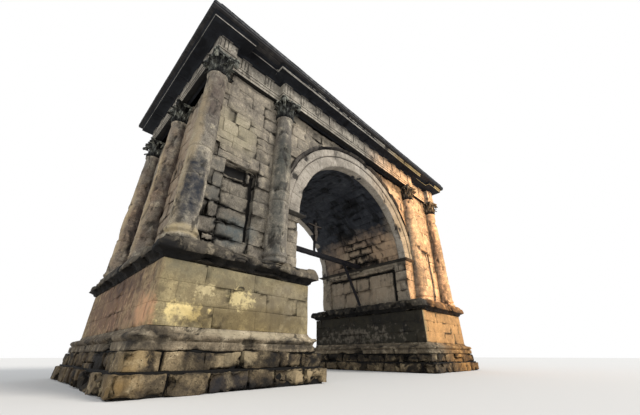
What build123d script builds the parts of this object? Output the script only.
import os

from build123d import *

# Sizes are in millimetres. X runs along the front, Y from front to rear, Z up from the ground.

# Plan of the upper walls
opening_width = 8810
pier_width = 4445
wall_depth = 7180

# How far the podium stands out from the walls above it
podium_face_outset = 660
podium_end_outset = 600
podium_passage_outset = 75

# Heights of the courses, from the ground up
lower_plinth_height = 460
upper_plinth_height = 440
base_moulding_height = 550
dado_height = 1650
podium_cornice_height = 620
springing_rise = 2330
arch_crown_gap = 225
architrave_height = 350
frieze_height = 650
cornice_height = 360
deck_height = 110
slate_edge_height = 150
roof_rise = 1500

# How far each course of the podium stands out from its dado
lower_plinth_outset = 550
lower_plinth_round = 60
upper_plinth_outset = 380
upper_plinth_round = 40
base_moulding_outset = 250
base_fillet_height = 200
base_torus_setback = 50
base_torus_bulge = 90
podium_cornice_outset = 270
podium_bed_height = 200
podium_crown_height = 200
podium_crown_setback = 120

# Archivolt and vault
vault_thickness = 1020
inner_fascia_width = 600
outer_fascia_width = 420
archivolt_lip_width = 190
inner_fascia_relief = 70
outer_fascia_relief = 115
archivolt_lip_relief = 240

# Impost, whose top lies a little above the centre of the arch, and the sunk panels below it
impost_rise = 150
impost_height = 340
impost_projection = 250
jamb_pilaster_width = 790
jamb_recess_depth = 120
jamb_recess_top_gap = 150
niche_width = 1300
niche_height = 3600
niche_depth = 120

# Columns
inner_column_gap = 1205
corner_column_outset = 170
column_axis_outset = 186
shaft_bottom_radius = 430
shaft_top_radius = 370
base_height = 430
base_radius = 530
base_round = 45
base_waist = 85
shaft_foot_flare = 20
astragal_height = 90
astragal_reach = 40
capital_height = 1030
abacus_half_width = 570
abacus_height = 130
abacus_hollow = 90
abacus_corner_cut = 130
bell_radius = 345
bell_flare = 100
leaf_count = 8
lower_leaf_height = 390
upper_leaf_height = 660
leaf_reach = 130
leaf_width = 250
leaf_thickness = 35
scroll_radius = 80
scroll_thickness = 110
flower_radius = 75

# Entablature, which breaks forward over the middle bay and along the short sides
entablature_face_outset = 530
entablature_end_outset = 560
recess_outset = 210
break_overhang = 450
triglyph_pitch = 1075
triglyph_width = 480
triglyph_relief = 55
triglyph_corner_gap = 60
architrave_step = 30
soffit_rise = 110
cornice_projection = 600
eaves_overhang = 150

# Timber cross frame in the passage
beam_size = 280
strut_size = 150
strut_jamb_clearance = 100
strut_run = 1440
cross_timber = 130
cross_height = 2150
cross_arm_length = 1150
cross_arm_drop = 480

# Places worked out from the sizes above
opening_radius = opening_width / 2
wall_end = opening_radius + pier_width
wall_face = wall_depth / 2
podium_end = wall_end + podium_end_outset
podium_face = wall_face + podium_face_outset
podium_inner = opening_radius - podium_passage_outset
dado_bottom = lower_plinth_height + upper_plinth_height + base_moulding_height
podium_top = dado_bottom + dado_height + podium_cornice_height
column_height = springing_rise + opening_radius + vault_thickness + arch_crown_gap
springing = podium_top + springing_rise
impost_top = springing + impost_rise
wall_top = podium_top + column_height
frieze_bottom = wall_top + architrave_height
cornice_bottom = frieze_bottom + frieze_height
deck_bottom = cornice_bottom + cornice_height
roof_bottom = deck_bottom + deck_height
column_face_axis = wall_face + column_axis_outset
inner_column_axis = opening_radius + inner_column_gap
corner_column_axis = wall_end + corner_column_outset
niche_centre = (inner_column_axis + corner_column_axis) / 2
entablature_face = wall_face + entablature_face_outset
entablature_end = wall_end + entablature_end_outset
middle_break = inner_column_axis + break_overhang
corner_break = corner_column_axis - break_overhang
on_base = (Align.CENTER, Align.CENTER, Align.MIN)


def silhouette(half_width, profile):
    """A symmetric outline. Each profile step is (outset, height, bulge); a bulge makes the stretch an arc."""
    edges = []
    outset, height = profile[0][0], profile[0][1]
    edges.append(Line((-half_width - outset, height), (half_width + outset, height)))
    for next_outset, next_height, bulge in profile[1:]:
        for side in (1, -1):
            start = Vector(side * (half_width + outset), height)
            end = Vector(side * (half_width + next_outset), next_height)
            if bulge:
                along = (end - start).normalized()
                out = Vector(along.Y, -along.X) * side
                edges.append(ThreePointArc(start, (start + end) / 2 + out * bulge, end))
            elif (end - start).length > 0:
                edges.append(Line(start, end))
        outset, height = next_outset, next_height
    if half_width + outset > 0:
        edges.append(Line((-half_width - outset, height), (half_width + outset, height)))
    return make_face(edges)


def moulded_block(centre_x, half_x, half_y, bottom, profile):
    """A block on a rectangular plan whose moulded profile turns mitred corners."""
    reach = half_x + half_y + max(abs(step[0]) for step in profile)
    along_front = extrude(Plane.XZ * silhouette(half_x, profile), amount=reach, both=True)
    along_side = extrude(Plane.YZ * silhouette(half_y, profile), amount=reach, both=True)
    return Pos(centre_x, 0, bottom) * (along_front & along_side)


def rounded_course(outset, height, round_size):
    """Profile of a rough course with its upper and lower edges worn round."""
    return [
        (outset - round_size, 0, 0),
        (outset, round_size, round_size * 0.2),
        (outset, height - round_size, 0),
        (outset - round_size, height, round_size * 0.2),
    ]


def base_moulding_profile():
    """A fillet band, a torus above it, and a hollow up to the dado."""
    torus_out = base_moulding_outset - base_torus_setback
    torus_top = base_fillet_height + 2 * (base_torus_bulge + base_torus_setback / 2)
    return [
        (base_moulding_outset, 0, 0),
        (base_moulding_outset, base_fillet_height, 0),
        (torus_out, base_fillet_height, 0),
        (torus_out, torus_top, base_torus_bulge),
        (torus_out / 2, torus_top, 0),
        (0, base_moulding_height, -base_torus_setback / 2),
    ]


def podium_cornice_profile():
    """A bed moulding that swells out under a thick worn crown."""
    crown_top = podium_bed_height + podium_crown_height
    top_out = podium_cornice_outset - podium_crown_setback
    return [
        (0, 0, 0),
        (podium_cornice_outset / 4, podium_bed_height / 4, 0),
        (podium_cornice_outset, podium_bed_height, -podium_bed_height / 6),
        (podium_cornice_outset, crown_top, 0),
        (top_out, podium_cornice_height, podium_bed_height / 8),
    ]


def impost_profile():
    """Two fasciae under a cyma and a flat crown."""
    fascia_out, fascia_high = impost_projection / 6, impost_height / 4
    crown_bottom = impost_height - fascia_high
    return [
        (fascia_out, 0, 0),
        (fascia_out, fascia_high, 0),
        (2 * fascia_out, fascia_high, 0),
        (2 * fascia_out, 2 * fascia_high, 0),
        (impost_projection, crown_bottom, -fascia_high / 4),
        (impost_projection, impost_height, 0),
    ]


def architrave_profile():
    """Two fasciae and the flat band that closes the architrave."""
    fascia_high = architrave_height * 0.4
    return [
        (-architrave_step, 0, 0),
        (-architrave_step, fascia_high, 0),
        (0, fascia_high, 0),
        (0, 2 * fascia_high, 0),
        (architrave_step, 2 * fascia_high, 0),
        (architrave_step, architrave_height, 0),
    ]


def cornice_profile():
    """Bed moulding, broad flat soffit, corona and cyma."""
    bed_out = cornice_projection / 8
    corona_out = cornice_projection - bed_out
    corona_top = (soffit_rise + cornice_height) / 2
    return [
        (0, 0, 0),
        (bed_out, soffit_rise, bed_out / 4),
        (corona_out, soffit_rise, 0),
        (corona_out, corona_top, 0),
        (cornice_projection, cornice_height, -bed_out / 4),
    ]


def podium_stage(side, bottom, profile):
    """One course of a pier's podium; side is -1 for the left pier and 1 for the right."""
    centre = side * (podium_end + podium_inner) / 2
    half = (podium_end - podium_inner) / 2
    return moulded_block(centre, half, podium_face, bottom, profile)


def pier_wall(side):
    """Half of the upper wall: a pier, and its spandrel over the vault up to the middle of the arch."""
    ring = opening_radius + vault_thickness
    crown = Vector(0, springing + ring)
    haunch = Vector(ring * 0.5**0.5, springing + ring * 0.5**0.5)
    outline = make_face(
        [
            Polyline(
                crown,
                (0, wall_top),
                (wall_end, wall_top),
                (wall_end, podium_top),
                (opening_radius, podium_top),
                (opening_radius, springing),
                (ring, springing),
            ),
            ThreePointArc((ring, springing), haunch, crown),
        ]
    )
    wall = extrude(Plane.XZ * outline, amount=wall_face, both=True)
    panel_length = wall_depth - 2 * jamb_pilaster_width
    panel_height = impost_top - podium_top - impost_height - jamb_recess_top_gap
    panel = Box(2 * jamb_recess_depth, panel_length, panel_height, align=on_base)
    wall -= Pos(opening_radius, 0, podium_top) * panel
    niche = Box(niche_width, 2 * niche_depth, niche_height, align=on_base)
    for face in (-wall_face, wall_face):
        wall -= Pos(niche_centre, face, podium_top) * niche
    return wall if side > 0 else mirror(wall, Plane.YZ)


def barrel_vault():
    """The ring of vault stones from front to rear."""
    outer = opening_radius + vault_thickness
    ring = Circle(outer) - Circle(opening_radius)
    upper = ring & Pos(0, outer / 2) * Rectangle(2 * outer, outer)
    return Pos(0, 0, springing) * extrude(Plane.XZ * upper, amount=wall_face, both=True)


def archivolt(facing):
    """Stepped fasciae and an outer lip turned round the arch on one face; the columns stop their feet."""
    first = opening_radius + inner_fascia_width
    second = first + outer_fascia_width
    last = second + archivolt_lip_width
    section = make_face(
        Polyline(
            (opening_radius, 0),
            (opening_radius, inner_fascia_relief),
            (first, inner_fascia_relief),
            (first, outer_fascia_relief),
            (second, outer_fascia_relief),
            (second + archivolt_lip_width * 0.4, archivolt_lip_relief),
            (last, archivolt_lip_relief),
            (last, 0),
            close=True,
        )
    )
    ring = revolve(section, Axis((0, 0, 0), (0, -1, 0)), revolution_arc=180)
    side_limit = inner_column_axis - shaft_bottom_radius
    keep = Box(2 * side_limit, 4 * archivolt_lip_relief, last, align=on_base)
    ring = Pos(0, wall_face, springing) * (ring & Pos(0, 0, impost_rise) * keep)
    return ring if facing > 0 else mirror(ring, Plane.XZ)


def wall_core():
    """The plain volume of both piers, which engaged pieces are cut back to."""
    height = wall_top - podium_top
    block = Box(pier_width, wall_depth, height, align=on_base)
    centre = opening_radius + pier_width / 2
    return Pos(centre, 0, podium_top) * block + Pos(-centre, 0, podium_top) * block


def impost(side):
    """The moulding that wraps the jamb from column to column at the springing."""
    stop = inner_column_axis - shaft_bottom_radius
    half = (stop - opening_radius) / 2
    reach = half + impost_projection
    bottom = impost_top - impost_height
    block = moulded_block(opening_radius + reach, reach, wall_face, bottom, impost_profile())
    keep_width = stop - opening_radius + 2 * impost_projection
    keep = Pos(stop - keep_width / 2, 0, impost_top) * Box(keep_width, 2 * wall_depth, 2 * impost_height)
    wrap = (block & keep) - wall_core() - barrel_vault()
    return wrap if side > 0 else mirror(wrap, Plane.YZ)


def column():
    """A whole column: Attic base, tapering shaft and the astragal under the capital, on its own axis."""
    shaft_top = column_height - capital_height
    third = base_height + (shaft_top - base_height) / 3
    torus_top, ring_bottom = base_height * 0.38, base_height * 0.62
    waist = base_radius - base_waist
    ring = base_radius - base_round
    astragal = shaft_top_radius + astragal_reach
    outline = Polyline(
        (0, 0),
        (base_radius - base_round, 0),
        (base_radius, base_round),
        (base_radius, torus_top - base_round),
        (base_radius - base_round, torus_top),
        (waist, torus_top),
        (waist, ring_bottom),
        (ring, ring_bottom + base_round / 2),
        (ring, base_height - base_round),
        (shaft_bottom_radius + shaft_foot_flare, base_height),
        (shaft_bottom_radius, base_height + 2 * shaft_foot_flare),
        (shaft_bottom_radius, third),
        (shaft_top_radius, shaft_top - astragal_height),
        (astragal, shaft_top - astragal_height * 0.7),
        (astragal, shaft_top - astragal_height * 0.3),
        (shaft_top_radius, shaft_top),
        (0, shaft_top),
        close=True,
    )
    return revolve(Plane.XZ * make_face(outline), Axis.Z)


def leaf(height):
    """One leaf that rises from the foot of the bell and curls out at its tip, facing +X."""
    root = bell_radius - leaf_thickness
    face = bell_radius + leaf_thickness
    tip = bell_radius + leaf_reach
    side = make_face(
        Polyline(
            (root, 0),
            (face, 0),
            (face, height * 0.65),
            ((face + tip) / 2, height * 0.88),
            (tip, height * 0.8),
            (tip - leaf_thickness / 2, height),
            (root, height),
            close=True,
        )
    )
    front = make_face(
        Polyline(
            (-leaf_width / 2, 0),
            (leaf_width / 2, 0),
            (leaf_width / 2, height * 0.55),
            (leaf_width / 4, height),
            (-leaf_width / 4, height),
            (-leaf_width / 2, height * 0.55),
            close=True,
        )
    )
    blade = extrude(Plane.XZ * side, amount=leaf_width, both=True)
    return blade & extrude(Plane.YZ * front, amount=2 * tip)


def scroll(bell_height):
    """A stalk that ends in a scroll under one corner of the abacus, facing +X."""
    reach = (abacus_half_width - abacus_corner_cut / 2) * 2**0.5 - scroll_radius
    root = bell_radius - leaf_thickness
    stalk = make_face(
        Polyline(
            (root, upper_leaf_height * 0.6),
            (bell_radius + leaf_thickness, upper_leaf_height * 0.7),
            (reach, bell_height - 2 * scroll_radius),
            (reach, bell_height),
            (root, bell_height),
            close=True,
        )
    )
    curl = Pos(reach, bell_height - scroll_radius) * Circle(scroll_radius)
    return extrude(Plane.XZ * (stalk + curl), amount=scroll_thickness / 2, both=True)


def abacus():
    """A square slab with hollow sides and a flower in the middle of each."""
    square = Rectangle(2 * abacus_half_width, 2 * abacus_half_width)
    chord = 2 * (abacus_half_width - abacus_corner_cut)
    hollow_radius = (chord**2 / 4 + abacus_hollow**2) / (2 * abacus_hollow)
    hollow = Pos(abacus_half_width + hollow_radius - abacus_hollow, 0) * Circle(hollow_radius)
    for quarter in range(4):
        square -= Rot(0, 0, 90 * quarter) * hollow
    slab = extrude(square, amount=abacus_height)
    flower = Cylinder(flower_radius, abacus_half_width - abacus_hollow / 2, align=on_base)
    flower = Pos(0, 0, abacus_height - flower_radius) * Rot(0, 90, 0) * flower
    return slab + [Rot(0, 0, 90 * quarter) * flower for quarter in range(4)]


def capital():
    """A Corinthian capital: bell, two rows of leaves, corner scrolls and a hollow-sided abacus."""
    bell_height = capital_height - abacus_height
    bell = make_face(
        Polyline(
            (0, 0),
            (bell_radius, 0),
            (bell_radius, bell_height / 2),
            (bell_radius + bell_flare / 3, bell_height * 0.8),
            (bell_radius + bell_flare, bell_height),
            (0, bell_height),
            close=True,
        )
    )
    body = revolve(Plane.XZ * bell, Axis.Z)
    step = 360 / leaf_count
    carving = [Rot(0, 0, step * place) * leaf(lower_leaf_height) for place in range(leaf_count)]
    carving += [Rot(0, 0, step * (place + 0.5)) * leaf(upper_leaf_height) for place in range(leaf_count)]
    carving += [Rot(0, 0, 45 + 90 * quarter) * scroll(bell_height) for quarter in range(4)]
    return body + carving + Pos(0, 0, bell_height) * abacus()


def even_places(first, last):
    """Places from first to last, both included, as near the triglyph pitch as an even spacing allows."""
    gaps = max(1, round((last - first) / triglyph_pitch))
    return [first + (last - first) * place / gaps for place in range(gaps + 1)]


def frieze_runs():
    """Places of the triglyphs: x, y and the direction each one faces."""
    inset = triglyph_corner_gap + triglyph_width / 2
    recess_inset = (corner_break - middle_break) / 4
    runs = []
    for facing in (-1, 1):
        for x in even_places(-middle_break + inset, middle_break - inset):
            runs.append((x, facing * entablature_face, 90 * facing))
        for side in (-1, 1):
            for x in even_places(middle_break + recess_inset, corner_break - recess_inset):
                runs.append((side * x, facing * (wall_face + recess_outset), 90 * facing))
            runs.append((side * (entablature_end - inset), facing * entablature_face, 90 * facing))
        for y in even_places(-entablature_face + inset, entablature_face - inset):
            runs.append((facing * entablature_end, y, 0 if facing > 0 else 180))
    return runs


def triglyph():
    """Three bars parted by two grooves, with half grooves at the ends, facing +X."""
    deep, wide = triglyph_relief, triglyph_width
    groove, bar = wide / 9, wide / 4.5
    edge = [(0, -wide / 2), (deep / 2, -wide / 2)]
    start = -wide / 2 + groove / 2
    for place in range(3):
        edge += [(deep, start), (deep, start + bar)]
        start += bar
        if place < 2:
            edge.append((deep * 0.25, start + groove / 2))
            start += groove
    edge += [(deep / 2, wide / 2), (0, wide / 2)]
    return extrude(make_face(Polyline(*edge, close=True)), amount=frieze_height)


def entablature_layer(bottom, profile):
    """One layer on the broken plan: the sunk main run, the middle bay and both ends."""
    main = moulded_block(0, corner_column_axis, wall_face + recess_outset, bottom, profile)
    middle = moulded_block(0, middle_break, entablature_face, bottom, profile)
    layer = main + middle
    centre, half = (entablature_end + corner_break) / 2, (entablature_end - corner_break) / 2
    for side in (-1, 1):
        layer += moulded_block(side * centre, half, entablature_face, bottom, profile)
    return layer


def frieze():
    """The plain frieze with its triglyphs."""
    layer = entablature_layer(frieze_bottom, [(0, 0, 0), (0, frieze_height, 0)])
    glyph = triglyph()
    return layer + [Pos(x, y, frieze_bottom) * Rot(0, 0, turn) * glyph for x, y, turn in frieze_runs()]


def roof_deck():
    """The boarded soffit under the slates, straight along every side."""
    half_x = entablature_end + cornice_projection + eaves_overhang
    half_y = entablature_face + cornice_projection + eaves_overhang
    return Pos(0, 0, deck_bottom) * Box(2 * half_x, 2 * half_y, deck_height, align=on_base)


def slate_roof():
    """A low hipped roof."""
    half_x = entablature_end + cornice_projection + eaves_overhang
    half_y = entablature_face + cornice_projection + eaves_overhang
    profile = [(0, 0, 0), (0, slate_edge_height, 0), (-half_y, slate_edge_height + roof_rise, 0)]
    return moulded_block(0, half_x, half_y, roof_bottom, profile)


def tie_beam():
    """The timber that spans the passage on top of the imposts, its ends cut to the vault."""
    bar = Pos(0, 0, impost_top) * Box(opening_width, beam_size, beam_size, align=on_base)
    vault = Pos(0, 0, springing) * extrude(Plane.XZ * Circle(opening_radius), amount=beam_size, both=True)
    return bar & vault


def beam_struts():
    """A leaning strut at each end, from the podium cornice to the underside of the beam."""
    half = strut_size / 2
    foot = opening_radius - strut_jamb_clearance - half
    head = foot - strut_run
    struts = []
    for side in (-1, 1):
        outline = make_face(
            Polyline(
                (side * (foot - half), podium_top),
                (side * (foot + half), podium_top),
                (side * (head + half), impost_top),
                (side * (head - half), impost_top),
                close=True,
            )
        )
        struts.append(extrude(Plane.XZ * outline, amount=half, both=True))
    return Compound(struts)


def cross():
    """The cross that stands on the middle of the beam."""
    post = Box(cross_timber, cross_timber, cross_height, align=on_base)
    arm = Pos(0, 0, cross_height - cross_arm_drop) * Box(cross_arm_length, cross_timber, cross_timber)
    return Pos(0, 0, impost_top + beam_size) * (post + arm)


def column_places():
    """Name and axis of each of the ten engaged columns."""
    places = {}
    for row, y in (("front", -column_face_axis), ("rear", column_face_axis)):
        for hand, side in (("left", -1), ("right", 1)):
            places[f"{row}_{hand}_corner"] = (side * corner_column_axis, y)
            places[f"{row}_{hand}_inner"] = (side * inner_column_axis, y)
    places["left_side"] = (-corner_column_axis, 0)
    places["right_side"] = (corner_column_axis, 0)
    return places


def build_parts():
    parts = {}
    lower_course = rounded_course(lower_plinth_outset, lower_plinth_height, lower_plinth_round)
    upper_course = rounded_course(upper_plinth_outset, upper_plinth_height, upper_plinth_round)
    moulding_bottom = lower_plinth_height + upper_plinth_height
    crown_bottom = dado_bottom + dado_height
    for hand, side in (("left", -1), ("right", 1)):
        parts[f"{hand}_lower_plinth"] = podium_stage(side, 0, lower_course)
        parts[f"{hand}_upper_plinth"] = podium_stage(side, lower_plinth_height, upper_course)
        parts[f"{hand}_base_moulding"] = podium_stage(side, moulding_bottom, base_moulding_profile())
        parts[f"{hand}_podium"] = podium_stage(side, dado_bottom, [(0, 0, 0), (0, dado_height, 0)])
        parts[f"{hand}_podium_cornice"] = podium_stage(side, crown_bottom, podium_cornice_profile())
        parts[f"{hand}_pier_wall"] = pier_wall(side)
        parts[f"{hand}_impost"] = impost(side)
    parts["barrel_vault"] = barrel_vault()
    parts["front_archivolt"] = archivolt(-1)
    parts["rear_archivolt"] = archivolt(1)
    core = wall_core()
    whole_column, whole_capital = column(), capital()
    for name, (x, y) in column_places().items():
        parts[f"{name}_column"] = Pos(x, y, podium_top) * whole_column - core
        parts[f"{name}_capital"] = Pos(x, y, wall_top - capital_height) * whole_capital - core
    parts["architrave"] = entablature_layer(wall_top, architrave_profile())
    parts["frieze"] = frieze()
    parts["cornice"] = entablature_layer(cornice_bottom, cornice_profile())
    parts["roof_deck"] = roof_deck()
    parts["slate_roof"] = slate_roof()
    parts["tie_beam"] = tie_beam()
    parts["beam_struts"] = beam_struts()
    parts["beam_cross"] = cross()
    return parts


os.makedirs("parts", exist_ok=True)
for node, shape in build_parts().items():
    export_step(shape, f"parts/{node}.step")
